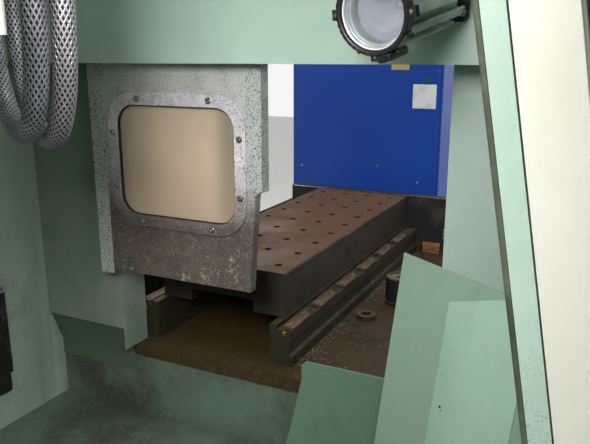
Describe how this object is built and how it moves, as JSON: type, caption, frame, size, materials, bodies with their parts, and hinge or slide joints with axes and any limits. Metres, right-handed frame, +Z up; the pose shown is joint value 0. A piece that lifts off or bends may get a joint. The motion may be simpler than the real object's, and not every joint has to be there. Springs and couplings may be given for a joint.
{
  "type": "cnc machining center",
  "caption": "Vertical machining centre with slanted sliding front doors, a lift shutter to a pallet station on its right, a tool magazine and a blue electrical cabinet.",
  "frame": {"origin": "on the floor under the middle of the machine's bounding box", "axes": "+X towards the machine's right side, where the pallet station is, +Y towards its back and +Z up; the operator stands on the -Y side"},
  "size_m": [3.8, 2.0662, 2.48],
  "materials": {
    "green_paint": "satin enamel, stained by coolant and chips",
    "green_paint_dark": "satin enamel, oily",
    "casting_paint": "satin enamel on casting",
    "white_paint": "satin enamel",
    "grey_paint": "satin enamel",
    "blue_paint": "satin enamel",
    "oily_iron": "machined and oily",
    "rail_steel": "dirty and oily",
    "deck_steel": "oily, covered with fine chips",
    "pad_bronze": "dull, oily",
    "black_steel": "satin black",
    "sheet_steel": "brushed, oily",
    "hose_braid": "woven wire",
    "bright_steel": "ground",
    "frame_steel": "stained",
    "clear_pane": "clear",
    "frosted_pane": "frosted by coolant",
    "lamp_alloy": "cast, satin",
    "black_plastic": "moulded",
    "red_plastic": "moulded",
    "orange_plastic": "moulded"
  },
  "bodies": {
    "frame": {"bed": "casting_paint", "leveling_feet": "bright_steel", "column": "casting_paint", "chip_pans": "deck_steel", "lower_panels": "green_paint", "front_frame": "green_paint", "wall_right": "green_paint", "header_box": "green_paint", "sill_plate": "green_paint_dark", "wall_left": "green_paint", "back_walls": "green_paint", "shutter_guides": "green_paint", "loose_cover_wide": "green_paint_dark", "loose_cover_narrow": "green_paint", "cable_duct": "grey_paint", "hose_front": "hose_braid", "hose_rear": "hose_braid", "lamp_bracket": "black_steel", "magazine_bracket": "grey_paint", "panel_arm": "grey_paint", "station_base": "green_paint_dark", "station_deck": "deck_steel", "station_rails": "rail_steel", "guide_pads": "pad_bronze", "end_plate": "black_steel", "stop_post": "black_steel", "cabinet_body": "blue_paint", "electrics_cabinet": "grey_paint", "coolant_tank": "grey_paint"},
    "saddle": {"saddle": "casting_paint", "way_cover_front": "sheet_steel"},
    "cover_middle": {"way_cover_middle": "sheet_steel"},
    "table": {"table": "oily_iron", "table_rails": "oily_iron", "table_covers": "sheet_steel"},
    "head": {"head_casting": "casting_paint", "head_cover": "white_paint", "spindle_housing": "bright_steel", "coolant_nozzles": "orange_plastic"},
    "spindle": {"spindle_shaft": "bright_steel", "tool_holder": "bright_steel"},
    "magazine": {"magazine_disc": "bright_steel", "magazine_tools": "bright_steel"},
    "right_door": {"door_right": "white_paint", "door_right_pane": "clear_pane"},
    "left_door": {"door_left": "white_paint", "door_left_pane": "clear_pane"},
    "shutter": {"shutter_panel": "green_paint", "shutter_frame": "frame_steel", "shutter_pane": "frosted_pane"},
    "pallet": {"pallet": "oily_iron"},
    "lamp": {"lamp_body": "lamp_alloy", "lamp_ring": "black_steel", "lamp_lens": "clear_pane"},
    "cabinet_door": {"cabinet_door": "blue_paint"},
    "cabinet_latch": {"cabinet_latch": "black_plastic"},
    "electrics_door": {"electrics_door": "grey_paint"},
    "panel": {"panel_housing": "grey_paint"},
    "stop_button": {"stop_button": "red_plastic"},
    "feed_knob": {"feed_knob": "black_plastic"}
  },
  "joints": [
    {"name": "saddle_slide", "type": "slide", "parent": "frame", "child": "saddle", "axis": [0, 1, 0], "range_m": [-0.195, 0.105]},
    {"name": "cover_slide", "type": "slide", "parent": "frame", "child": "cover_middle", "axis": [0, 1, 0], "range_m": [-0.0975, 0.0525]},
    {"name": "table_slide", "type": "slide", "parent": "saddle", "child": "table", "axis": [1, 0, 0], "range_m": [-0.315, 0.315]},
    {"name": "head_slide", "type": "slide", "parent": "frame", "child": "head", "axis": [0, 0, 1], "range_m": [-0.27, 0.23]},
    {"name": "spindle_spin", "type": "hinge", "parent": "head", "child": "spindle", "pos_m": [-0.72, -0.189, 1.5], "axis": [0, 0, 1], "continuous": true},
    {"name": "magazine_turn", "type": "hinge", "parent": "frame", "child": "magazine", "pos_m": [-1.345, -0.1, 1.8], "axis": [0, 0, 1], "continuous": true},
    {"name": "right_door_slide", "type": "slide", "parent": "frame", "child": "right_door", "axis": [1, 0, 0], "range_m": [-0.5195, 0]},
    {"name": "left_door_slide", "type": "slide", "parent": "frame", "child": "left_door", "axis": [1, 0, 0], "range_m": [0, 0.5195]},
    {"name": "shutter_lift", "type": "slide", "parent": "frame", "child": "shutter", "axis": [0, 0, 1], "range_m": [0, 0.4]},
    {"name": "pallet_slide", "type": "slide", "parent": "frame", "child": "pallet", "axis": [1, 0, 0], "range_m": [-1.235, 0]},
    {"name": "lamp_tilt", "type": "hinge", "parent": "frame", "child": "lamp", "pos_m": [0.13, -0.718, 1.538], "axis": [0, 1, 0], "range_deg": [-20, 25]},
    {"name": "cabinet_door_hinge", "type": "hinge", "parent": "frame", "child": "cabinet_door", "pos_m": [1.87015, 0.185, 1], "axis": [0, 0, 1], "range_deg": [0, 110]},
    {"name": "cabinet_latch_turn", "type": "hinge", "parent": "cabinet_door", "child": "cabinet_latch", "pos_m": [1.892, -0.343, 1.05], "axis": [1, 0, 0], "range_deg": [0, 90]},
    {"name": "electrics_door_hinge", "type": "hinge", "parent": "frame", "child": "electrics_door", "pos_m": [-1.307, 1.01125, 1.1], "axis": [0, 0, 1], "range_deg": [0, 110]},
    {"name": "panel_swing", "type": "hinge", "parent": "frame", "child": "panel", "pos_m": [0.4, -0.79, 1.3], "axis": [0, 0, 1], "range_deg": [-90, 20]},
    {"name": "stop_button_press", "type": "slide", "parent": "panel", "child": "stop_button", "axis": [0, 1, 0], "range_m": [0, 0.006], "stiffness_N_per_m": 700, "springref_m": -0.004},
    {"name": "feed_knob_turn", "type": "hinge", "parent": "panel", "child": "feed_knob", "pos_m": [0.53, -0.845, 1.14], "axis": [0, 1, 0], "range_deg": [-135, 135]}
  ],
  "couplings": [
    {"joint": "cover_slide", "follows": "saddle_slide", "ratio": 0.5}
  ]
}
